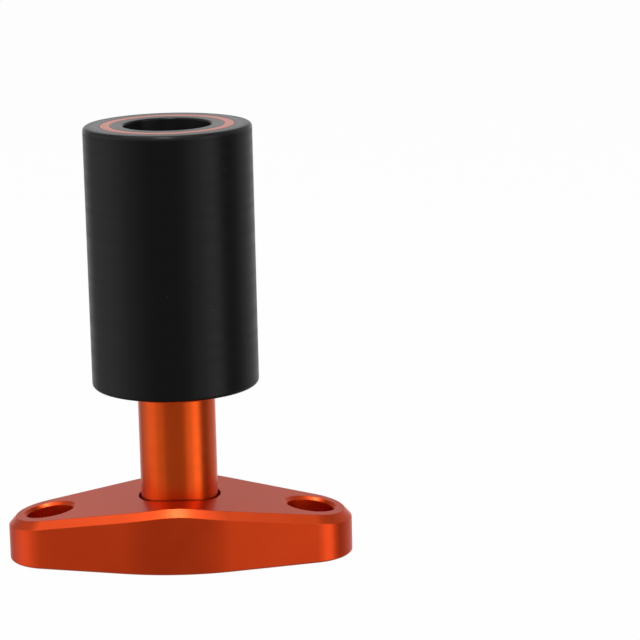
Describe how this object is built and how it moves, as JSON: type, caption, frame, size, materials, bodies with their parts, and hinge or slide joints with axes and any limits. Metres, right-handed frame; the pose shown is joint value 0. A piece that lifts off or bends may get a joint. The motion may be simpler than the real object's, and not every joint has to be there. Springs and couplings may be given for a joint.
{
  "type": "motorcycle frame slider",
  "caption": "Crash protector: a round black puck with an inlaid metal ring, on a flanged spacer tube clamped to a bevelled diamond-shaped mounting plate with sloped flats and sunk screw holes.",
  "frame": {"origin": "middle of the plate's flat mounting face", "axes": "+Z along the clamp screw towards the puck's outer end, X along the plate's long side, through both screw holes"},
  "size_m": [0.104, 0.05, 0.1317],
  "materials": {
    "anodised_aluminium": "satin orange anodised",
    "puck_plastic": "turned satin black",
    "screw_steel": "black oxide"
  },
  "bodies": {
    "root": {"mounting_plate": "anodised_aluminium", "flanged_spacer": "anodised_aluminium", "puck": "puck_plastic", "accent_ring": "anodised_aluminium", "bolt_washer": "screw_steel", "clamp_bolt": "screw_steel"}
  },
  "joints": []
}
